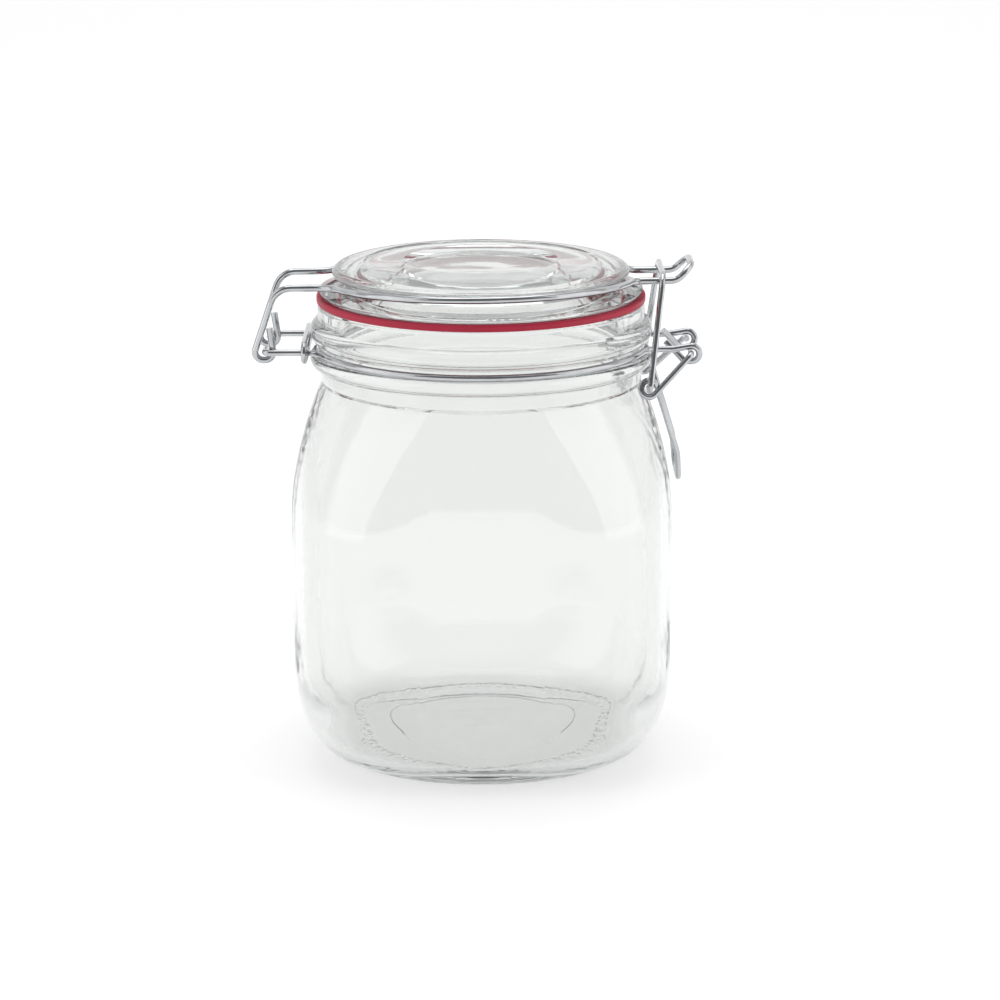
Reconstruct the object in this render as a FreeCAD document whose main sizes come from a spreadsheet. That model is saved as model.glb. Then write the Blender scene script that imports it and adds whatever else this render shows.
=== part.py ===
import FreeCAD, Part
import math
import os

import Sketcher
from FreeCAD import Placement, Rotation, Vector

# A one-litre square jar of clear glass with a hinged glass lid, a rubber ring and
# a steel wire bail. Millimetres, +Z up. The origin is the middle of the base, the
# hinge is on the -X side and the clasp on the +X side.

os.makedirs("parts", exist_ok=True)
doc = FreeCAD.newDocument("clip_top_jar")
sizes = doc.addObject("Spreadsheet::Sheet", "sizes")

DRIVING_SIZES = (
    # the moulded body
    ("body_width", 109.7),
    ("corner_radius", 37.0),
    ("wall", 3.0),
    ("base_thickness", 5.0),
    ("foot_radius", 40.5),
    ("foot_land", 2.0),
    ("inside_foot_radius", 43.0),
    ("base_ring_radius", 29.0),
    ("base_ring_step", 0.3),
    ("base_rise", 1.6),
    ("heel_height", 29.0),
    ("shoulder_start", 77.0),
    ("neck_height", 110.8),
    ("neck_wall", 4.6),
    ("parting_step", 0.3),
    ("outline_flat", 0.4),
    # the finish round the mouth
    ("mouth_radius", 41.8),
    ("rim_width", 5.6),
    ("rim_rise", 12.6),
    ("rim_round", 1.2),
    ("bead_depth", 2.3),
    ("upper_bead_width", 6.4),
    ("lower_bead_width", 4.6),
    ("groove_width", 2.4),
    ("groove_rise", 10.2),
    # the rubber ring
    ("gasket_overhang", 0.2),
    ("gasket_thickness", 2.0),
    ("gasket_round", 0.5),
    ("seat_gap", 0.1),
    # the lid
    ("lid_overhang", 1.2),
    ("lid_edge_sagitta", 0.7),
    ("lid_edge_thickness", 2.1),
    ("lid_edge_round", 1.6),
    ("lid_slope", 1.2),
    ("flange_inset", 0.4),
    ("flange_edge", 1.5),
    ("flange_rise", 3.6),
    ("lid_groove_depth", 3.2),
    ("lid_groove_width", 2.0),
    ("lid_shelf_width", 3.0),
    ("lid_shelf_fall", 0.9),
    ("lid_ring_width", 9.6),
    ("lid_ring_step", 0.4),
    ("lid_dish_width", 21.0),
    ("lid_dish_depth", 1.5),
    ("lid_floor", 5.5),
    ("plug_clearance", 1.3),
    ("plug_wall", 3.2),
    ("plug_depth", 1.4),
    # the wires
    ("neck_wire", 1.9),
    ("lid_wire", 2.0),
    ("clasp_wire", 1.8),
    ("wire_clearance", 0.1),
    # the hinge
    ("hinge_standoff", 14.6),
    ("hinge_leg_spread", 13.7),
    ("hinge_pin_length", 4.6),
    ("hinge_eye_spread", 11.2),
    ("hinge_arm_spread", 13.0),
    ("hinge_eye_radius", 2.6),
    ("clip_half_height", 2.4),
    # the clasp
    ("clasp_leg_spread", 10.7),
    ("pivot_standoff", 12.9),
    ("pivot_drop", 1.2),
    ("eye_radius", 2.45),
    ("lid_wire_seat", 0.75),
    ("hook_spread", 8.5),
    ("hook_standoff", 8.8),
    ("hook_rise", 4.2),
    ("hook_lift", 0.5),
    ("coil_standoff", 0.7),
    ("coil_drop", 10.4),
    ("coil_radius", 2.3),
    ("coil_spread", 17.3),
    ("lever_arm_spread", 12.9),
    ("lever_pin_length", 3.6),
    ("handle_lean", 17.0),
    ("handle_length", 21.6),
    ("handle_tip_lean", 4.5),
    ("handle_tip_length", 8.7),
    ("handle_knee_spread", 11.4),
    ("handle_spread", 9.5),
    ("link_spread", 20.6),
    ("link_top_spread", 12.8),
    ("link_bar_standoff", 4.6),
)
for row, (alias, number) in enumerate(DRIVING_SIZES, start=1):
    sizes.set("A%d" % row, alias)
    sizes.set("B%d" % row, repr(number))
    sizes.setAlias("B%d" % row, alias)
doc.recompute()


def size(alias):
    """A driving size, read from the sheet."""
    return float(getattr(sizes, alias))


def value(text):
    """The number that an expression over the sheet gives."""
    return float(sizes.evalExpression(text))


# ---------------------------------------------------------------- sketches

def plane_of(body, role):
    """One of a body's own origin planes."""
    return next(part for part in body.Origin.OriginFeatures if part.Role == role)


def arc_middle(start, end, radius, side):
    """The middle of the short arc from start to end that bulges to the given side of its chord."""
    chord = end - start
    half = chord.Length / 2
    sagitta = radius - math.sqrt(max(radius * radius - half * half, 0.0))
    across = Vector(chord.y, -chord.x, 0).normalize()
    return (start + end) / 2 + across * (side * sagitta)


def closed_sketch(body, name, corners, arcs, role, height=None):
    """A closed outline on an origin plane.

    corners: (x expression, y expression), with None for a corner on the vertical axis.
    arcs: {edge: (radius expression, side)}; every other edge is a line.
    """
    sketch = body.newObject("Sketcher::SketchObject", name)
    sketch.AttachmentSupport = (plane_of(body, role), [""])
    sketch.MapMode = "FlatFace"
    if height is not None:
        sketch.setExpression("AttachmentOffset.Base.z", height)
    points = [Vector(value(x) if x else 0.0, value(y), 0) for x, y in corners]
    ends = []
    for edge, start in enumerate(points):
        end = points[(edge + 1) % len(points)]
        if edge in arcs:
            radius, side = arcs[edge]
            middle = arc_middle(start, end, value(radius), side)
            geo = sketch.addGeometry(Part.Arc(start, middle, end), False)
        else:
            geo = sketch.addGeometry(Part.LineSegment(start, end), False)
        first_is_start = sketch.getPoint(geo, 1).distanceToPoint(start) < 1e-6
        ends.append((geo, 1, 2) if first_is_start else (geo, 2, 1))
    for edge, (geo, first, last) in enumerate(ends):
        following, its_first, _ = ends[(edge + 1) % len(ends)]
        sketch.addConstraint(Sketcher.Constraint("Coincident", geo, last, following, its_first))
    for edge, (geo, first, _) in enumerate(ends):
        x, y = corners[edge]
        if x:
            at = sketch.addConstraint(Sketcher.Constraint("DistanceX", geo, first, points[edge].x))
            sketch.setExpression("Constraints[%d]" % at, x)
        else:
            sketch.addConstraint(Sketcher.Constraint("PointOnObject", geo, first, -2))
        at = sketch.addConstraint(Sketcher.Constraint("DistanceY", geo, first, points[edge].y))
        sketch.setExpression("Constraints[%d]" % at, y)
        if edge in arcs:
            at = sketch.addConstraint(Sketcher.Constraint("Radius", geo, value(arcs[edge][0])))
            sketch.setExpression("Constraints[%d]" % at, arcs[edge][0])
    return sketch


def rounded_square(body, name, half, corner, height):
    """A square outline with round corners, level, at a height."""
    inner = "(%s) - (%s)" % (half, corner)
    corners = []
    for along_x, along_y, x_first in ((1, 1, False), (1, -1, True), (-1, -1, False), (-1, 1, True)):
        flat = ("%d * (%s)" % (along_x, inner), "%d * (%s)" % (along_y, half))
        side = ("%d * (%s)" % (along_x, half), "%d * (%s)" % (along_y, inner))
        corners += [side, flat] if x_first else [flat, side]
    arcs = {edge: (corner, -1) for edge in (0, 2, 4, 6)}
    return closed_sketch(body, name, corners, arcs, "XY_Plane", height)


def revolved(body, name, sketch, kind="PartDesign::Revolution"):
    """A full turn of a sketch about the vertical axis."""
    feature = body.newObject(kind, name)
    feature.Profile = sketch
    feature.ReferenceAxis = (sketch, ["V_Axis"])
    feature.Angle = 360.0
    return feature


def lofted(body, name, sketches, kind):
    """A smooth skin through level outlines."""
    feature = body.newObject(kind, name)
    feature.Profile = sketches[0]
    feature.Sections = sketches[1:]
    feature.Ruled = False
    return feature


def bulge_radius(width, depth):
    """The radius of an arc with this chord and this depth, as an expression."""
    return "(pow((%s) / 2; 2) + pow(%s; 2)) / (2 * (%s))" % (width, depth, depth)


# ---------------------------------------------------------------- wires

def bent_path(points, bends):
    """Straight runs joined by tangent arcs. bends holds one radius for each inner point."""
    edges = []
    here = points[0]
    for before, corner, after, radius in zip(points, points[1:], points[2:], bends):
        incoming = (corner - before).normalize()
        outgoing = (after - corner).normalize()
        turn = incoming.getAngle(outgoing)
        setback = radius * math.tan(turn / 2)
        start = corner - incoming * setback
        end = corner + outgoing * setback
        towards = (outgoing - incoming).normalize()
        middle = corner + towards * (radius / math.cos(turn / 2) - radius)
        if here.distanceToPoint(start) > 1e-4:
            edges.append(Part.LineSegment(here, start).toShape())
        else:
            start = here
        edges.append(Part.Arc(start, middle, end).toShape())
        here = end
    edges.append(Part.LineSegment(here, points[-1]).toShape())
    return Part.Wire(edges)


def ring_corners(radius, first, last, count):
    """Corners of the outline round an arc of this radius, from one angle to another."""
    step = (last - first) / count
    reach = radius / math.cos(step / 2)
    turns = [first + step * (index + 0.5) for index in range(count)]
    return [(reach * math.cos(turn), reach * math.sin(turn)) for turn in turns]


def leaving_corner(radius, spread, bend, side):
    """Where a straight leg at this spread meets the tangent of the ring that it leaves.

    Returns the corner and the ring's angle there. side is -1 at the hinge and 1 at the clasp.
    """
    centre_q = spread + bend
    centre_p = side * math.sqrt((radius + bend) ** 2 - centre_q ** 2)
    angle = math.atan2(-centre_q, centre_p)
    tangent = Vector(-math.sin(angle), math.cos(angle), 0)
    touch = Vector(radius * math.cos(angle), radius * math.sin(angle), 0)
    along = (-spread - touch.y) / tangent.y
    corner = touch + tangent * along
    return (corner.x, corner.y), angle


def swept_wire(label, path_shape, diameter, placement=Placement()):
    """A round wire along a path, with its section bound to the sheet."""
    path = doc.addObject("Part::Feature", label + "_path")
    path.Shape = path_shape
    path.Placement = placement
    first = path_shape.Edges[0]
    start = first.valueAt(first.FirstParameter)
    heading = first.tangentAt(first.FirstParameter)
    section = doc.addObject("Part::Circle", label + "_section")
    section.setExpression("Radius", "sizes.%s / 2" % diameter)
    section.Placement = Placement(start, Rotation(Vector(0, 0, 1), heading))
    wire = doc.addObject("Part::Sweep", label)
    wire.Label = label
    wire.Sections = [section]
    wire.Spine = (path, [])
    wire.Solid = True
    wire.Frenet = False
    wire.Transition = "Transformed"
    return wire


def mirrored_points(points):
    """The same points on the far side of the XZ plane, last first."""
    return [Vector(point.x, -point.y, point.z) for point in reversed(points)]


# ---------------------------------------------------------------- sizes that follow

RIM_RADIUS = "(sizes.mouth_radius + sizes.rim_width)"
BEAD_RADIUS = "(%s + sizes.bead_depth)" % RIM_RADIUS
NECK_RADIUS = "(sizes.mouth_radius + sizes.neck_wall)"
WIRE_HEIGHT = "(sizes.neck_height + sizes.groove_rise)"
RIM_HEIGHT = "(%s + sizes.rim_rise)" % WIRE_HEIGHT

GASKET_RADIUS = "(%s + sizes.gasket_overhang)" % RIM_RADIUS
GASKET_BOTTOM = "(%s + sizes.seat_gap)" % RIM_HEIGHT
GASKET_TOP = "(%s + sizes.gasket_thickness)" % GASKET_BOTTOM

PLUG_RADIUS = "(sizes.mouth_radius - sizes.plug_clearance)"
FLANGE_RADIUS = "(%s - sizes.flange_inset)" % GASKET_RADIUS
FLANGE_BOTTOM = "(%s + sizes.seat_gap / 2)" % GASKET_TOP
LID_RADIUS = "(sizes.mouth_radius + sizes.lid_overhang)"
LID_GROOVE_RADIUS = "(%s - sizes.lid_groove_depth)" % LID_RADIUS
LID_GROOVE_FLOOR = "(%s + sizes.flange_rise)" % FLANGE_BOTTOM

HINGE_X = -value("%s + sizes.hinge_standoff" % RIM_RADIUS)
WIRE_Z = value(WIRE_HEIGHT)
PIVOT = Vector(value("%s + sizes.pivot_standoff" % RIM_RADIUS), 0, WIRE_Z - size("pivot_drop"))
COIL = Vector(value("%s + sizes.coil_standoff" % RIM_RADIUS), 0, WIRE_Z - size("coil_drop"))
LID_WIRE_Z = value("%s + sizes.lid_wire_seat" % LID_GROOVE_FLOOR)


# ---------------------------------------------------------------- the glass jar

def shoulder_share(share):
    """How much of the body's extra width is left at this share of the shoulder's height."""
    return 1 - share ** 1.75


def body_outlines(body, name, inset, foot, floor):
    """Level outlines of the jar's outer skin, or of its inside where inset is the wall."""
    half = "(sizes.body_width / 2 - %s)" % inset
    corner = "(sizes.corner_radius - %s)" % inset
    neck = "(%s - %s)" % (NECK_RADIUS, inset)
    # a round outline keeps a short flat on each side, so that all outlines have eight edges
    round_foot = "(%s - sizes.outline_flat)" % foot
    round_neck = "(%s - sizes.outline_flat)" % neck
    outlines = []
    for step in (0.0, 0.1, 0.32, 0.64, 1.0):
        widening = math.sqrt(1 - (1 - step) ** 2)
        squaring = step ** 1.5
        outlines.append((
            "%s + (%s - %s) * %.4f" % (foot, half, foot, widening),
            "%s + (%s - %s) * %.4f" % (round_foot, corner, round_foot, squaring),
            "%s + (sizes.heel_height - %s) * %.4f" % (floor, floor, step),
        ))
    outlines.append((half, corner, "(sizes.heel_height + sizes.shoulder_start) / 2"))
    for share in (0.0, 0.2, 0.4, 0.6, 0.8, 1.0):
        kept = shoulder_share(share)
        squareness = (1 - share) ** 1.3
        outlines.append((
            "%s + (%s - %s) * %.4f" % (neck, half, neck, kept),
            "%s + (%s - %s) * %.4f" % (round_neck, corner, round_neck, squareness),
            "sizes.shoulder_start + (sizes.neck_height - sizes.shoulder_start) * %.4f" % share,
        ))
    return [
        rounded_square(body, "%s_%d" % (name, index), half_now, corner_now, height)
        for index, (half_now, corner_now, height) in enumerate(outlines)
    ]


def make_jar():
    """The pressed and blown glass jar: foot, square body, shoulder and wire-grooved finish."""
    body = doc.addObject("PartDesign::Body", "glass_jar")
    body.Label = "glass_jar"
    skin = body_outlines(body, "skin", "0", "sizes.foot_radius", "0")
    lofted(body, "jar_skin", skin, "PartDesign::AdditiveLoft")

    groove_top = "(%s + sizes.groove_width / 2)" % WIRE_HEIGHT
    groove_bottom = "(%s - sizes.groove_width / 2)" % WIRE_HEIGHT
    parting = "%s + sizes.parting_step" % NECK_RADIUS
    finish = closed_sketch(body, "finish_profile", [
        ("sizes.mouth_radius", "sizes.neck_height - sizes.wall"),
        ("sizes.mouth_radius", "%s - sizes.rim_round" % RIM_HEIGHT),
        ("sizes.mouth_radius + sizes.rim_round", RIM_HEIGHT),
        ("%s - sizes.rim_round" % RIM_RADIUS, RIM_HEIGHT),
        (RIM_RADIUS, "%s - sizes.rim_round" % RIM_HEIGHT),
        (RIM_RADIUS, "%s + sizes.upper_bead_width" % groove_top),
        (RIM_RADIUS, groove_top),
        (RIM_RADIUS, groove_bottom),
        (RIM_RADIUS, "%s - sizes.lower_bead_width" % groove_bottom),
        (parting, "sizes.neck_height + 2 * sizes.parting_step"),
        (parting, "sizes.neck_height - 2 * sizes.parting_step"),
    ], {
        1: ("sizes.rim_round", -1),
        3: ("sizes.rim_round", -1),
        5: (bulge_radius("sizes.upper_bead_width", "sizes.bead_depth"), -1),
        7: (bulge_radius("sizes.lower_bead_width", "sizes.bead_depth"), -1),
    }, "XZ_Plane")
    revolved(body, "finish", finish)

    inside = body_outlines(body, "inside", "sizes.wall", "sizes.inside_foot_radius", "sizes.base_thickness")
    lofted(body, "inside_of_the_jar", inside, "PartDesign::SubtractiveLoft")

    bore = closed_sketch(body, "bore_profile", [
        (None, "sizes.neck_height - sizes.neck_wall"),
        ("sizes.mouth_radius", "sizes.neck_height - sizes.neck_wall"),
        ("sizes.mouth_radius", RIM_HEIGHT),
        (None, RIM_HEIGHT),
    ], {}, "XZ_Plane")
    revolved(body, "bore", bore, "PartDesign::Groove")

    # the base is drawn up inside a narrow standing ring, with a step where the mould's base plate ends
    land = "sizes.foot_radius - sizes.foot_land"
    recess = closed_sketch(body, "base_profile", [
        (None, "0 - sizes.base_rise"),
        (land, "0 - sizes.base_rise"),
        (land, "0"),
        ("sizes.base_ring_radius + sizes.base_ring_step", "sizes.base_rise / 2"),
        ("sizes.base_ring_radius", "sizes.base_rise / 2 + sizes.base_ring_step"),
        (None, "sizes.base_rise"),
    ], {}, "XZ_Plane")
    revolved(body, "base_recess", recess, "PartDesign::Groove")
    return body


# ---------------------------------------------------------------- ring and lid

def make_gasket():
    """The flat rubber ring between the rim and the lid's flange."""
    body = doc.addObject("PartDesign::Body", "gasket")
    body.Label = "gasket"
    hole = "%s + sizes.gasket_round" % PLUG_RADIUS
    profile = closed_sketch(body, "gasket_profile", [
        (hole, GASKET_BOTTOM),
        (hole, GASKET_TOP),
        ("%s - sizes.gasket_round" % GASKET_RADIUS, GASKET_TOP),
        (GASKET_RADIUS, "%s - sizes.gasket_round" % GASKET_TOP),
        (GASKET_RADIUS, "%s + sizes.gasket_round" % GASKET_BOTTOM),
        ("%s - sizes.gasket_round" % GASKET_RADIUS, GASKET_BOTTOM),
    ], {2: ("sizes.gasket_round", -1), 4: ("sizes.gasket_round", -1)}, "XZ_Plane")
    revolved(body, "gasket_ring", profile)
    return body


def make_lid():
    """The pressed glass lid: plug, flange, groove for the wire and dished top disc."""
    body = doc.addObject("PartDesign::Body", "glass_lid")
    body.Label = "glass_lid"
    disc_radius = "(%s - sizes.lid_edge_sagitta)" % LID_RADIUS
    disc_bottom = "(%s + sizes.lid_groove_width)" % LID_GROOVE_FLOOR
    disc_rim = "(%s + sizes.lid_edge_thickness)" % disc_bottom
    edge_top = "(%s + sizes.lid_edge_round / 3)" % disc_rim
    ring_radius = "(%s - sizes.lid_ring_width)" % LID_RADIUS
    ring_top = "(%s + sizes.lid_slope)" % edge_top
    dish_radius = "(%s - sizes.lid_dish_width)" % LID_RADIUS
    dish_edge = "(%s + sizes.lid_ring_step)" % ring_top
    dish_floor = "(%s - sizes.lid_dish_depth)" % dish_edge
    underside = "%s - sizes.lid_floor" % dish_floor
    plug_inside = "%s - sizes.plug_wall" % PLUG_RADIUS
    plug_bottom = "(%s - sizes.plug_depth)" % RIM_HEIGHT
    profile = closed_sketch(body, "lid_profile", [
        (None, underside),
        ("%s - sizes.plug_wall" % plug_inside, underside),
        (plug_inside, plug_bottom),
        ("%s - sizes.plug_depth / 2" % PLUG_RADIUS, plug_bottom),
        (PLUG_RADIUS, RIM_HEIGHT),
        (PLUG_RADIUS, FLANGE_BOTTOM),
        ("%s - sizes.flange_edge" % FLANGE_RADIUS, FLANGE_BOTTOM),
        ("%s - sizes.flange_inset" % FLANGE_RADIUS, "%s + sizes.flange_edge" % FLANGE_BOTTOM),
        ("%s + sizes.lid_shelf_width" % LID_GROOVE_RADIUS, "%s - sizes.lid_shelf_fall" % LID_GROOVE_FLOOR),
        (LID_GROOVE_RADIUS, LID_GROOVE_FLOOR),
        (LID_GROOVE_RADIUS, "%s + sizes.lid_groove_width / 3" % LID_GROOVE_FLOOR),
        (disc_radius, disc_bottom),
        (disc_radius, disc_rim),
        ("%s - sizes.lid_edge_round" % disc_radius, edge_top),
        ("%s + sizes.lid_ring_step" % ring_radius, ring_top),
        (ring_radius, "%s - sizes.lid_ring_step" % ring_top),
        ("%s + sizes.lid_ring_step" % dish_radius, dish_edge),
        ("%s - sizes.lid_ring_step" % dish_radius, dish_floor),
        (None, dish_floor),
    ], {
        6: ("1.2 * sizes.flange_edge", 1),
        11: (bulge_radius("sizes.lid_edge_thickness", "sizes.lid_edge_sagitta"), 1),
        12: ("1.2 * sizes.lid_edge_round", 1),
    }, "XZ_Plane")
    revolved(body, "lid_disc", profile)
    return body


# ---------------------------------------------------------------- the bail

def make_neck_wire():
    """Half of the wire round the neck: hinge pin, leg, ring, leg and eye for the lever."""
    wire = size("neck_wire")
    radius = value(RIM_RADIUS) + wire / 2 + size("wire_clearance")
    leg = size("hinge_leg_spread")
    clasp_leg = size("clasp_leg_spread")
    eye = size("eye_radius")
    leg_bend = 6.0
    left, first = leaving_corner(radius, leg, leg_bend, -1)
    right, last = leaving_corner(radius, clasp_leg, leg_bend, 1)
    ring = ring_corners(radius, first, last, 3)
    points = [
        Vector(HINGE_X, -(leg - size("hinge_pin_length")), WIRE_Z),
        Vector(HINGE_X, -leg, WIRE_Z),
    ]
    points += [Vector(x, y, WIRE_Z) for x, y in [left] + ring + [right]]
    # the eye curls over the pivot and back under it, stepping inward past its own leg
    inward = Vector(0, wire / 2, 0)
    near = Vector(0, -clasp_leg, 0)
    points += [
        Vector(PIVOT.x - 2.1 * eye, -clasp_leg, WIRE_Z),
        PIVOT + near + Vector(eye, 0, eye),
        PIVOT + near + Vector(eye, 0, -eye) + inward * 0.5,
        PIVOT + near + Vector(-0.7 * eye, 0, -1.1 * eye) + inward * 1.6,
        PIVOT + near + Vector(-2.9 * eye, 0, 1.2 * eye) + inward * 3.3,
    ]
    bends = [1.7, leg_bend] + [radius] * len(ring) + [leg_bend, 8.0]
    bends += [eye - 0.15, eye - 0.15, 1.6]
    front = swept_wire("neck_wire_front", bent_path(points, bends), "neck_wire")
    back = doc.addObject("Part::Mirroring", "neck_wire_back")
    back.Label = "neck_wire_back"
    back.Source = front
    back.Base = Vector(0, 0, 0)
    back.Normal = Vector(0, 1, 0)
    return front, back


def make_hinge_clip():
    """The long wire link that holds the two hinge legs together, just outside the beads."""
    wire = size("clasp_wire")
    x = -(value(BEAD_RADIUS) + wire / 2 + size("wire_clearance"))
    half = size("clip_half_height")
    legs = size("hinge_leg_spread") + size("neck_wire") / 2
    reach = legs + wire / 2 + size("wire_clearance") - half
    near_top = Vector(x, -reach, WIRE_Z + half)
    near_end = Vector(x, -reach - half, WIRE_Z)
    near_bottom = Vector(x, -reach, WIRE_Z - half)
    far_top = Vector(x, reach, WIRE_Z + half)
    far_end = Vector(x, reach + half, WIRE_Z)
    far_bottom = Vector(x, reach, WIRE_Z - half)
    path = Part.Wire([
        Part.LineSegment(far_top, near_top).toShape(),
        Part.Arc(near_top, near_end, near_bottom).toShape(),
        Part.LineSegment(near_bottom, far_bottom).toShape(),
        Part.Arc(far_bottom, far_end, far_top).toShape(),
    ])
    return swept_wire("hinge_clip", path, "clasp_wire")


def make_lid_wire():
    """The one-piece wire round the lid: two hinge eyes, two arms, two bows and the hook."""
    wire = size("lid_wire")
    radius = value(LID_RADIUS) + wire / 2 + 2 * size("wire_clearance")
    arm = size("hinge_arm_spread")
    eye_y = size("hinge_eye_spread")
    hook = size("hook_spread")
    eye = size("hinge_eye_radius")
    rise = size("hook_rise")
    arm_bend, hook_bend = 9.0, 4.0
    # each bow lies in a plane of its own, which climbs a little towards the clasp and away from the arms
    climb, bow = 0.63, 3.3
    along = Rotation(Vector(0, 1, 0), -climb).multVec(Vector(1, 0, 0))
    across = Rotation(along, -bow).multVec(Vector(0, 1, 0))
    datum = Vector(0, 0, LID_WIRE_Z) + Vector(0, 0, across.z * (hook + arm) / 2)

    def on_bow(p, q):
        return datum + along * p + across * q

    left, first = leaving_corner(radius, arm, arm_bend, -1)
    right, last = leaving_corner(radius, hook, hook_bend, 1)
    ring = ring_corners(radius, first, last, 3)
    hook_x = value("%s + sizes.hook_standoff" % RIM_RADIUS)
    hook_start = on_bow(hook_x, -hook)
    # the eye is a U round the hinge pin, with its cut end standing up inside the jar's own leg
    near = [
        Vector(HINGE_X + eye / 2, -eye_y, WIRE_Z + 2.6 * eye),
        Vector(HINGE_X + eye, -eye_y, WIRE_Z - eye),
        Vector(HINGE_X - 1.5 * eye, -eye_y, WIRE_Z - eye),
        on_bow(HINGE_X + 1.3 * eye, -arm),
        on_bow(*left),
    ]
    near += [on_bow(p, q) for p, q in ring]
    near += [on_bow(*right), hook_start, hook_start + Vector(rise, 0, rise)]
    half_bends = [2.4, 2.4, 6.0, arm_bend] + [radius] * len(ring) + [hook_bend, 4.0, 4.5]
    points = near + mirrored_points(near)
    bends = half_bends + half_bends[::-1]
    return swept_wire("lid_wire", bent_path(points, bends), "lid_wire")


def make_lever():
    """The one-piece lever: two pins, two arms, a coil each side and the bent handle."""
    wire = size("clasp_wire")
    arm_y = size("lever_arm_spread")
    outer = size("coil_spread")
    pitch = wire + size("wire_clearance")
    radius = size("coil_radius")
    lean = math.radians(size("handle_lean"))
    tip_lean = math.radians(size("handle_tip_lean"))
    handle = Vector(math.sin(lean), 0, -math.cos(lean))
    tip = Vector(math.sin(tip_lean), 0, -math.cos(tip_lean))

    # the arm meets the coil along a tangent at its lower right, and the handle leaves it after one more turn
    line = math.atan2(COIL.z - PIVOT.z, COIL.x - PIVOT.x)
    heading = line + math.asin(radius / (COIL - PIVOT).Length)
    first = heading + math.pi / 2
    last = lean - 2 * math.pi
    count = 4
    step = (last - first) / count
    reach = radius / math.cos(step / 2)
    wrap = []
    for index in range(count):
        turn = first + step * (index + 0.5)
        depth = outer - pitch * (index + 0.5) / count
        wrap.append(COIL + Vector(reach * math.cos(turn), -depth, reach * math.sin(turn)))

    knee = COIL + Vector(math.cos(last), 0, math.sin(last)) * radius + handle * size("handle_length")
    near = [
        PIVOT + Vector(0, -(arm_y - size("lever_pin_length")), 0),
        PIVOT + Vector(0, -arm_y, 0),
    ] + wrap + [
        knee + Vector(0, -size("handle_knee_spread"), 0),
        knee + tip * size("handle_tip_length") + Vector(0, -size("handle_spread"), 0),
    ]
    half_bends = [1.5] + [radius - 0.1] * count + [12.0, 5.0]
    points = near + mirrored_points(near)
    bends = half_bends + half_bends[::-1]
    return swept_wire("clasp_lever", bent_path(points, bends), "clasp_wire")


def make_link():
    """The loop from the lever's coils to the lid wire's hook."""
    wire = size("clasp_wire")
    spread = size("link_spread")
    pin_end = size("coil_spread") - wire - size("gasket_round")
    over_hook = (size("lid_wire") + wire) / 2 + 2 * size("wire_clearance")
    bar_x = value("%s + sizes.link_bar_standoff" % RIM_RADIUS)
    bar = Vector(bar_x, 0, LID_WIRE_Z + size("hook_lift") + over_hook)
    near = [
        COIL + Vector(0, -pin_end, 0),
        COIL + Vector(0, -spread, 0),
        bar + Vector(0, -size("link_top_spread"), 0),
    ]
    points = near + mirrored_points(near)
    return swept_wire("clasp_link", bent_path(points, [1.5, 4.5, 4.5, 1.5]), "clasp_wire")


# ---------------------------------------------------------------- build and write

nodes = [make_jar(), make_gasket(), make_lid()]
nodes += list(make_neck_wire())
nodes += [make_hinge_clip(), make_lid_wire(), make_lever(), make_link()]
doc.recompute()

for item in doc.Objects:
    if "Invalid" in item.State or "Error" in item.State:
        raise RuntimeError("%s failed: %s" % (item.Label, item.State))
for node in nodes:
    if node.Shape.isNull() or not node.Shape.isValid():
        raise RuntimeError("%s has no valid shape" % node.Label)
    if len(node.Shape.Solids) != 1:
        raise RuntimeError("%s has %d solids" % (node.Label, len(node.Shape.Solids)))
for node in nodes:
    node.Shape.exportStep("parts/%s.step" % node.Label)
    box = node.Shape.BoundBox
    print("%-16s %9.1f mm3  x %.1f %.1f  y %.1f %.1f  z %.1f %.1f" % (
        node.Label, node.Shape.Volume, box.XMin, box.XMax, box.YMin, box.YMax, box.ZMin, box.ZMax))
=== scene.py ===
import math

import bpy
from bpy.props import FloatProperty, FloatVectorProperty, PointerProperty
from mathutils import Matrix, Vector

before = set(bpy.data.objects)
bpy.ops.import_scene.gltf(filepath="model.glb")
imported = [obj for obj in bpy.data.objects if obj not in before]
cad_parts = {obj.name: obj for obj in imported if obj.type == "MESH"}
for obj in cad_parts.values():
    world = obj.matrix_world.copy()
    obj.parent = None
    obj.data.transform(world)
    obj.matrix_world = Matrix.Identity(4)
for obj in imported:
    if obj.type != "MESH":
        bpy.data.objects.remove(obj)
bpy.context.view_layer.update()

bl_info = {
    "name": "Clip-top jar",
    "version": (1, 0, 0),
    "blender": (4, 5, 0),
    "location": "3D View > Sidebar > Jar",
    "description": "Builds the looks of a glass jar with a wire clip round its packed frame",
    "category": "Object",
}

MM = 0.001

WIRE_NODES = (
    "lid_wire", "neck_wire_front", "neck_wire_back", "hinge_clip", "clasp_link", "clasp_lever")

# the ring that the jar stands on: full knurls up to the first size from its middle line and above
# the table, and none past the second
FOOT_RADIUS = 39.5 * MM
FOOT_HALF_WIDTH = (1.0 * MM, 2.2 * MM)
FOOT_HEIGHT = (1.0 * MM, 2.0 * MM)
KNURL_DEPTH = 0.5 * MM

# widths of the patterns on each finish
SKIN_PATCH = 4.0 * MM
BLOOM_PATCH = 9.0 * MM
RUBBER_GRAIN = 0.6 * MM
PLATING_PATCH = 6.0 * MM
DRAWING_SCRATCH = 0.4 * MM
PAPER_TOOTH = 2.0 * MM

# each softbox: its place, its width and height, and its watts
SOFTBOXES = {
    "top_box": ((0, 0.15, 1.2), (0.9, 0.9), 4.0),
    "left_box": ((-0.9, -0.35, 0.40), (0.80, 1.2), 2.4),
    "right_box": ((0.95, -0.25, 0.40), (0.80, 1.2), 2.4),
}
LIGHT_TARGET = (0, 0, 0.08)

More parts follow.
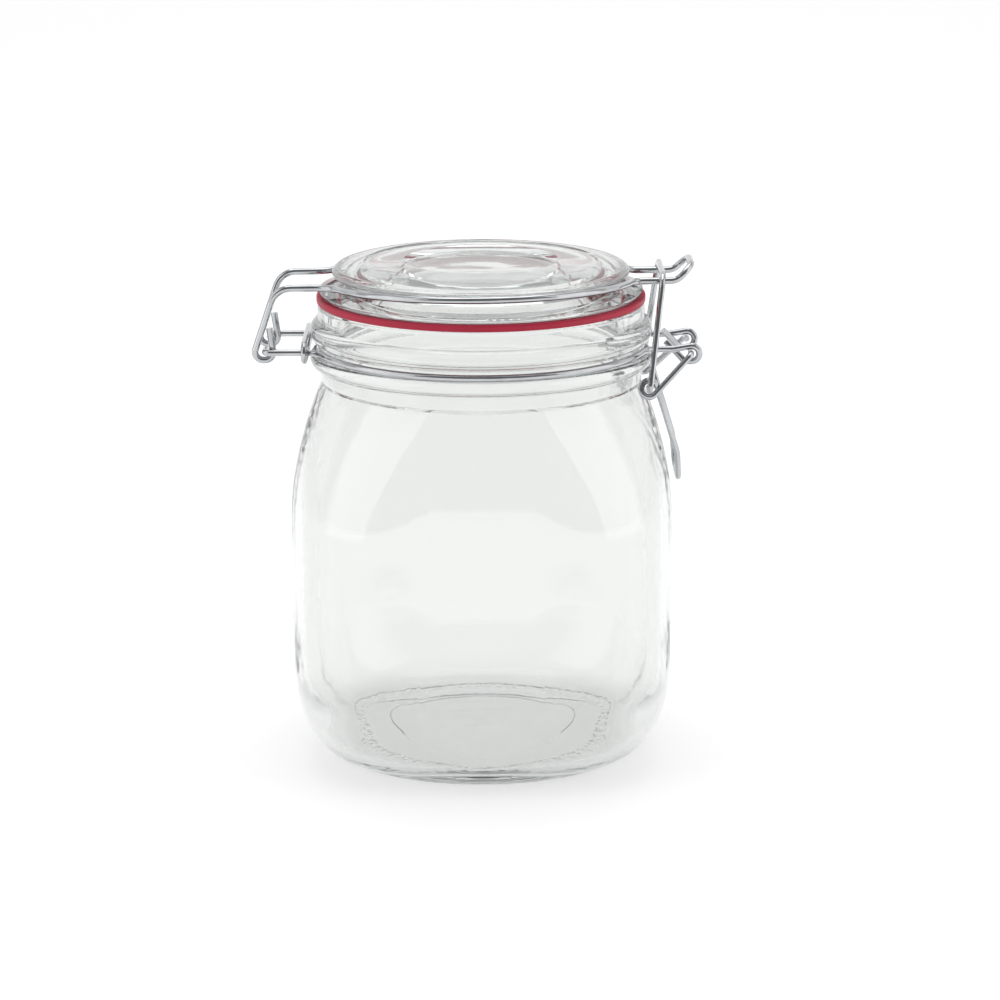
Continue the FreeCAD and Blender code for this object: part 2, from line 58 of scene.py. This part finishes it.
# the room is dim towards the camera and bright behind the jar: the heading's Y where each begins,
# and its share of the room light
ROOM_DIM_Y, ROOM_BRIGHT_Y = -0.95, 0.2
ROOM_DIM, ROOM_BRIGHT = 0.35, 1.3

# the curve where the sheet turns up: its share of the backdrop's distance, and its facets
SWEEP_SHARE = 0.5
SWEEP_FACETS = 16

SENSOR_WIDTH_MM = 36.0
CLIP_START, CLIP_END = 0.05, 20.0
# light inside thick glass turns back many times before it leaves
GLASS_BOUNCES = 32


def linear(hex_colour):
    """An sRGB hex colour as the linear RGBA that Blender's sockets take."""
    digits = hex_colour.lstrip("#")
    channels = [int(digits[i:i + 2], 16) / 255 for i in (0, 2, 4)]
    return [c / 12.92 if c <= 0.04045 else ((c + 0.055) / 1.055) ** 2.4 for c in channels] + [1.0]


def colour_setting(name, description, hex_colour):
    """A colour that the user can pick."""
    return FloatVectorProperty(
        name=name, description=description, default=linear(hex_colour)[:3], subtype="COLOR",
        min=0.0, max=1.0)


# ---------------------------------------------------------------- settings

class JarGlassSettings(bpy.types.PropertyGroup):
    """The glass of the jar and the lid."""
    cast: colour_setting("Cast", "Tint that thick glass takes on", "#CCD2D2")
    cast_depth: FloatProperty(
        name="Cast depth", description="Absorption per metre", default=11.0, min=0.0)
    jar_wave: FloatProperty(
        name="Jar ripple", description="Width of the blown wall's ripples", default=26 * MM,
        unit="LENGTH")
    lid_wave: FloatProperty(
        name="Lid ripple", description="Width of the pressed lid's ripples", default=18 * MM,
        unit="LENGTH")
    stipple: FloatProperty(
        name="Stipple", description="Pitch of the knurls on the ring that the jar stands on",
        default=1.6 * MM, unit="LENGTH")


class JarTrimSettings(bpy.types.PropertyGroup):
    """The rubber ring and the wires."""
    rubber_dark: colour_setting("Rubber, dark", "Deepest red of the ring", "#A80A2E")
    rubber_light: colour_setting("Rubber, light", "Lightest red of the ring", "#C01640")
    wire_dark: colour_setting("Wire, dark", "Where the plating is dull", "#A9ABAE")
    wire_light: colour_setting("Wire, light", "Where the plating is bright", "#D3D5D7")


class JarStageSettings(bpy.types.PropertyGroup):
    """The camera, the lights and the floor."""
    lens: FloatProperty(
        name="Focal length", description="On a 36 mm wide sensor", default=113.8, unit="CAMERA")
    distance: FloatProperty(
        name="Camera distance", description="In front of the jar's axis", default=0.9, unit="LENGTH")
    height: FloatProperty(
        name="Camera height", description="Above the floor", default=0.3115, unit="LENGTH")
    pitch: FloatProperty(
        name="Look down", description="Below level", default=math.radians(14.81), subtype="ANGLE")
    roll: FloatProperty(
        name="Roll", description="Turns the camera clockwise", default=math.radians(0.25),
        subtype="ANGLE")
    shift: FloatProperty(name="Shift", description="Share of the frame's width", default=0.0182)
    floor_size: FloatProperty(
        name="Floor size", description="Side of the floor sheet", default=12.0, unit="LENGTH")
    backdrop: FloatProperty(
        name="Backdrop distance", description="From the jar to where the sheet turns up", default=1.5,
        unit="LENGTH")
    backdrop_height: FloatProperty(
        name="Backdrop height", description="How high the sheet goes up", default=1.8, unit="LENGTH")
    sky: FloatProperty(
        name="Room light", description="Brightness of the room, which is dimmer towards the camera",
        default=0.45, min=0.0)
    paper_glow: FloatProperty(
        name="Paper glow", description="Light that comes through the sheet", default=0.60, min=0.0)


# ---------------------------------------------------------------- helpers

def deselect_all():
    """Leaves nothing selected and nothing active."""
    bpy.ops.object.select_all(action="DESELECT")
    bpy.context.view_layer.objects.active = None


def new_material(name):
    """An empty node material with its output."""
    material = bpy.data.materials.new(name)
    material.use_nodes = True
    material.node_tree.nodes.clear()
    return material, material.node_tree


def add_node(tree, kind, settings=None, **inputs):
    """Adds a node. settings are its properties; inputs are values or sockets, by the socket's name
    or, after an underscore, its number."""
    node = tree.nodes.new(kind)
    for name, setting in (settings or {}).items():
        setattr(node, name, setting)
    for name, given in inputs.items():
        key = int(name[1:]) if name[0] == "_" and name[1:].isdigit() else name.replace("_", " ")
        socket = node.inputs[key]
        if isinstance(given, bpy.types.NodeSocket):
            tree.links.new(given, socket)
        else:
            socket.default_value = given
    return node


def dress(node_name, material):
    """Gives a CAD node a material in place of its plain one."""
    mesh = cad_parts[node_name].data
    mesh.materials.clear()
    mesh.materials.append(material)


# ---------------------------------------------------------------- materials

def add_foot_stipple(tree, place, pitch, relief):
    """Small knurls on the ring that the jar stands on, which keep hot glass from cracking on the
    belt. They are bumps added to the relief."""
    axes = add_node(tree, "ShaderNodeSeparateXYZ", Vector=place)
    flat = add_node(tree, "ShaderNodeCombineXYZ", X=axes.outputs["X"], Y=axes.outputs["Y"])
    radius = add_node(tree, "ShaderNodeVectorMath", {"operation": "LENGTH"}, _0=flat.outputs["Vector"])
    off_ring = add_node(
        tree, "ShaderNodeMath", {"operation": "SUBTRACT"}, _0=radius.outputs["Value"],
        _1=FOOT_RADIUS)
    off_ring = add_node(tree, "ShaderNodeMath", {"operation": "ABSOLUTE"}, _0=off_ring.outputs["Value"])
    near_ring = add_node(
        tree, "ShaderNodeMapRange", Value=off_ring.outputs["Value"], From_Min=FOOT_HALF_WIDTH[0],
        From_Max=FOOT_HALF_WIDTH[1], To_Min=1.0, To_Max=0.0)
    low = add_node(
        tree, "ShaderNodeMapRange", Value=axes.outputs["Z"], From_Min=FOOT_HEIGHT[0],
        From_Max=FOOT_HEIGHT[1], To_Min=1.0, To_Max=0.0)
    band = add_node(
        tree, "ShaderNodeMath", {"operation": "MULTIPLY"}, _0=near_ring.outputs["Result"],
        _1=low.outputs["Result"])
    knurls = add_node(tree, "ShaderNodeTexVoronoi", Vector=place, Scale=1 / pitch)
    height = add_node(
        tree, "ShaderNodeMath", {"operation": "MULTIPLY"}, _0=knurls.outputs["Distance"],
        _1=band.outputs["Value"])
    return add_node(
        tree, "ShaderNodeBump", Height=height.outputs["Value"], Distance=KNURL_DEPTH, Strength=0.8,
        Normal=relief.outputs["Normal"])


def soda_lime_glass(name, wave, settings, stippled):
    """Pressed and blown flint soda-lime glass: clear with a faint grey-green cast where it is thick,
    and a skin that ripples slightly where the hot glass met the mould."""
    material, tree = new_material(name)
    place = add_node(tree, "ShaderNodeTexCoord").outputs["Object"]
    ripple = add_node(
        tree, "ShaderNodeTexNoise", Vector=place, Scale=1 / wave, Detail=1.0, Roughness=0.4)
    skin = add_node(tree, "ShaderNodeTexNoise", Vector=place, Scale=1 / SKIN_PATCH, Detail=2.0)
    relief = add_node(
        tree, "ShaderNodeBump", Height=ripple.outputs["Fac"], Distance=0.25 * MM, Strength=0.5)
    relief = add_node(
        tree, "ShaderNodeBump", Height=skin.outputs["Fac"], Distance=0.012 * MM, Strength=0.5,
        Normal=relief.outputs["Normal"])
    if stippled:
        relief = add_foot_stipple(tree, place, settings.stipple, relief)
    shader = add_node(
        tree, "ShaderNodeBsdfPrincipled", Base_Color=linear("#F4F5F4"), Roughness=0.02, IOR=1.52,
        Transmission_Weight=1.0, Normal=relief.outputs["Normal"])
    depth = add_node(
        tree, "ShaderNodeVolumeAbsorption", Color=[*settings.cast, 1.0], Density=settings.cast_depth)
    add_node(
        tree, "ShaderNodeOutputMaterial", Surface=shader.outputs["BSDF"], Volume=depth.outputs["Volume"])
    return material


def moulded_red_rubber(settings):
    """Vulcanised natural rubber from a polished mould: deep red, satin, with a faint bloom."""
    material, tree = new_material("moulded_red_rubber")
    place = add_node(tree, "ShaderNodeTexCoord").outputs["Object"]
    bloom = add_node(tree, "ShaderNodeTexNoise", Vector=place, Scale=1 / BLOOM_PATCH, Detail=4.0)
    colour = add_node(
        tree, "ShaderNodeMix", {"data_type": "RGBA"}, Factor=bloom.outputs["Fac"],
        _6=[*settings.rubber_dark, 1.0], _7=[*settings.rubber_light, 1.0])
    gloss = add_node(
        tree, "ShaderNodeMapRange", Value=bloom.outputs["Fac"], To_Min=0.45, To_Max=0.6)
    grain = add_node(tree, "ShaderNodeTexNoise", Vector=place, Scale=1 / RUBBER_GRAIN, Detail=3.0)
    relief = add_node(
        tree, "ShaderNodeBump", Height=grain.outputs["Fac"], Distance=0.03 * MM, Strength=0.4)
    shader = add_node(
        tree, "ShaderNodeBsdfPrincipled", Base_Color=colour.outputs[2],
        Roughness=gloss.outputs["Result"], Normal=relief.outputs["Normal"])
    add_node(tree, "ShaderNodeOutputMaterial", Surface=shader.outputs["BSDF"])
    return material


def bright_drawn_wire(settings):
    """Zinc-plated drawn steel wire: bright, with dull patches where it was bent and gripped."""
    material, tree = new_material("bright_drawn_wire")
    place = add_node(tree, "ShaderNodeTexCoord").outputs["Object"]
    patches = add_node(tree, "ShaderNodeTexNoise", Vector=place, Scale=1 / PLATING_PATCH, Detail=3.0)
    colour = add_node(
        tree, "ShaderNodeMix", {"data_type": "RGBA"}, Factor=patches.outputs["Fac"],
        _6=[*settings.wire_dark, 1.0], _7=[*settings.wire_light, 1.0])
    gloss = add_node(
        tree, "ShaderNodeMapRange", Value=patches.outputs["Fac"], To_Min=0.07, To_Max=0.16)
    scratches = add_node(tree, "ShaderNodeTexNoise", Vector=place, Scale=1 / DRAWING_SCRATCH, Detail=2.0)
    relief = add_node(
        tree, "ShaderNodeBump", Height=scratches.outputs["Fac"], Distance=0.01 * MM, Strength=0.4)
    shader = add_node(
        tree, "ShaderNodeBsdfPrincipled", Base_Color=colour.outputs[2], Metallic=1.0,
        Roughness=gloss.outputs["Result"], Normal=relief.outputs["Normal"])
    add_node(tree, "ShaderNodeOutputMaterial", Surface=shader.outputs["BSDF"])
    return material


def matt_white_paper(name, hex_colour, glow):
    """Translucent studio sheet, lit from behind: white and matt, with a trace of tooth."""
    material, tree = new_material(name)
    place = add_node(tree, "ShaderNodeTexCoord").outputs["Object"]
    tooth = add_node(tree, "ShaderNodeTexNoise", Vector=place, Scale=1 / PAPER_TOOTH, Detail=3.0)
    relief = add_node(
        tree, "ShaderNodeBump", Height=tooth.outputs["Fac"], Distance=0.02 * MM, Strength=0.2)
    shader = add_node(
        tree, "ShaderNodeBsdfPrincipled", Base_Color=linear(hex_colour), Roughness=0.9,
        Emission_Color=linear("#FFFFFF"), Emission_Strength=glow, Normal=relief.outputs["Normal"])
    add_node(tree, "ShaderNodeOutputMaterial", Surface=shader.outputs["BSDF"])
    return material


# ---------------------------------------------------------------- pieces

class JAR_OT_glass_jar(bpy.types.Operator):
    """Finishes the glass jar"""
    bl_idname = "jar.glass_jar"
    bl_label = "Glass jar"

    def execute(self, context):
        settings = context.scene.jar_glass
        dress("glass_jar", soda_lime_glass("blown_soda_lime_glass", settings.jar_wave, settings, True))
        return {"FINISHED"}


class JAR_OT_glass_lid(bpy.types.Operator):
    """Finishes the pressed glass lid"""
    bl_idname = "jar.glass_lid"
    bl_label = "Glass lid"

    def execute(self, context):
        settings = context.scene.jar_glass
        dress("glass_lid", soda_lime_glass("pressed_soda_lime_glass", settings.lid_wave, settings, False))
        return {"FINISHED"}


class JAR_OT_gasket(bpy.types.Operator):
    """Finishes the rubber ring"""
    bl_idname = "jar.gasket"
    bl_label = "Rubber ring"

    def execute(self, context):
        dress("gasket", moulded_red_rubber(context.scene.jar_trim))
        return {"FINISHED"}


class JAR_OT_wires(bpy.types.Operator):
    """Finishes the wires of the bail"""
    bl_idname = "jar.wires"
    bl_label = "Wires"

    def execute(self, context):
        wire = bright_drawn_wire(context.scene.jar_trim)
        for name in WIRE_NODES:
            dress(name, wire)
        return {"FINISHED"}


def add_softbox(name, location, size, watts):
    """A white rectangular area light that faces the middle of the jar."""
    data = bpy.data.lights.new(name, "AREA")
    data.shape = "RECTANGLE"
    data.size, data.size_y = size
    data.energy = watts
    light = bpy.data.objects.new(name, data)
    bpy.context.scene.collection.objects.link(light)
    light.location = location
    facing = Vector(LIGHT_TARGET) - Vector(location)
    light.rotation_euler = facing.to_track_quat("-Z", "Y").to_euler()


class JAR_OT_stage(bpy.types.Operator):
    """Sets the floor, the soft studio light and the camera"""
    bl_idname = "jar.stage"
    bl_label = "Stage"

    def execute(self, context):
        settings = context.scene.jar_stage
        self.make_floor(settings)
        self.make_lights(settings)
        self.make_camera(settings)
        self.set_colour_and_bounces(context.scene)
        return {"FINISHED"}

    def make_floor(self, settings):
        """A sheet of paper that sweeps up behind the jar."""
        deselect_all()
        back = settings.backdrop
        middle_y = back - settings.floor_size / 2
        bpy.ops.mesh.primitive_plane_add(size=settings.floor_size, location=(0, middle_y, 0))
        floor = bpy.context.object
        floor.name = "paper_floor"
        floor.data.name = "paper_floor"
        bpy.ops.object.transform_apply(location=True, rotation=True, scale=True)
        bpy.ops.object.mode_set(mode="EDIT")
        bpy.ops.mesh.select_all(action="DESELECT")
        bpy.ops.object.mode_set(mode="OBJECT")
        for edge in floor.data.edges:
            edge.select = all(floor.data.vertices[v].co.y > back - MM for v in edge.vertices)
        bpy.ops.object.mode_set(mode="EDIT")
        bpy.ops.mesh.select_mode(type="EDGE")
        bpy.ops.mesh.extrude_region_move(
            TRANSFORM_OT_translate={"value": (0, 0, settings.backdrop_height)})
        bpy.ops.object.mode_set(mode="OBJECT")
        for edge in floor.data.edges:
            ends = [floor.data.vertices[v].co for v in edge.vertices]
            edge.select = all(co.y > back - MM and co.z < MM for co in ends)
        bpy.ops.object.mode_set(mode="EDIT")
        bpy.ops.mesh.bevel(offset=back * SWEEP_SHARE, segments=SWEEP_FACETS, affect="EDGES")
        bpy.ops.object.mode_set(mode="OBJECT")
        bpy.ops.object.shade_smooth()
        paper = matt_white_paper("seamless_paper", "#C8C8C8", settings.paper_glow)
        floor.data.materials.append(paper)

    def make_lights(self, settings):
        """A big box over the jar and a tall one on each side, in a half-lit room."""
        for name, (place, size, watts) in SOFTBOXES.items():
            add_softbox(name, place, size, watts)
        world = bpy.data.worlds.new("room")
        world.use_nodes = True
        world.node_tree.nodes.clear()
        direction = add_node(world.node_tree, "ShaderNodeTexCoord").outputs["Generated"]
        axes = add_node(world.node_tree, "ShaderNodeSeparateXYZ", Vector=direction)
        level = add_node(
            world.node_tree, "ShaderNodeMapRange", {"interpolation_type": "SMOOTHSTEP"},
            Value=axes.outputs["Y"], From_Min=ROOM_DIM_Y, From_Max=ROOM_BRIGHT_Y,
            To_Min=settings.sky * ROOM_DIM, To_Max=settings.sky * ROOM_BRIGHT)
        room = add_node(
            world.node_tree, "ShaderNodeBackground", Color=linear("#FFFFFF"),
            Strength=level.outputs["Result"])
        add_node(world.node_tree, "ShaderNodeOutputWorld", Surface=room.outputs["Background"])
        bpy.context.scene.world = world

    def make_camera(self, settings):
        """A long lens in front of the jar and a little above it."""
        data = bpy.data.cameras.new("camera")
        data.sensor_width = SENSOR_WIDTH_MM
        data.lens = settings.lens
        data.shift_x = settings.shift
        data.clip_start = CLIP_START
        data.clip_end = CLIP_END
        camera = bpy.data.objects.new("camera", data)
        bpy.context.scene.collection.objects.link(camera)
        tilt = Matrix.Rotation(math.radians(90) - settings.pitch, 4, "X")
        turn = Matrix.Rotation(-settings.roll, 4, "Z")
        place = Matrix.Translation((0, -settings.distance, settings.height))
        camera.matrix_world = place @ tilt @ turn
        bpy.context.scene.camera = camera

    def set_colour_and_bounces(self, scene):
        """Plain colours, and enough bounces for light to get out of thick glass."""
        scene.view_settings.view_transform = "Standard"
        for limit in ("max_bounces", "transmission_bounces", "glossy_bounces"):
            setattr(scene.cycles, limit, GLASS_BOUNCES)


class JAR_PT_sidebar(bpy.types.Panel):
    """Lists the jar's pieces in the sidebar"""
    bl_idname = "JAR_PT_sidebar"
    bl_label = "Clip-top jar"
    bl_space_type = "VIEW_3D"
    bl_region_type = "UI"
    bl_category = "Jar"

    def draw(self, context):
        for operator in PIECES:
            self.layout.operator(operator.bl_idname)


PIECES = (JAR_OT_glass_jar, JAR_OT_glass_lid, JAR_OT_gasket, JAR_OT_wires, JAR_OT_stage)
CLASSES = (JarGlassSettings, JarTrimSettings, JarStageSettings, *PIECES, JAR_PT_sidebar)


def register():
    """Adds the classes and the scene's settings."""
    for cls in CLASSES:
        bpy.utils.register_class(cls)
    bpy.types.Scene.jar_glass = PointerProperty(type=JarGlassSettings)
    bpy.types.Scene.jar_trim = PointerProperty(type=JarTrimSettings)
    bpy.types.Scene.jar_stage = PointerProperty(type=JarStageSettings)


def unregister():
    """Takes them away again."""
    del bpy.types.Scene.jar_stage
    del bpy.types.Scene.jar_trim
    del bpy.types.Scene.jar_glass
    for cls in reversed(CLASSES):
        bpy.utils.unregister_class(cls)


def main():
    """Builds every piece."""
    register()
    bpy.ops.jar.glass_jar()
    bpy.ops.jar.glass_lid()
    bpy.ops.jar.gasket()
    bpy.ops.jar.wires()
    bpy.ops.jar.stage()


if __name__ == "__main__":
    main()
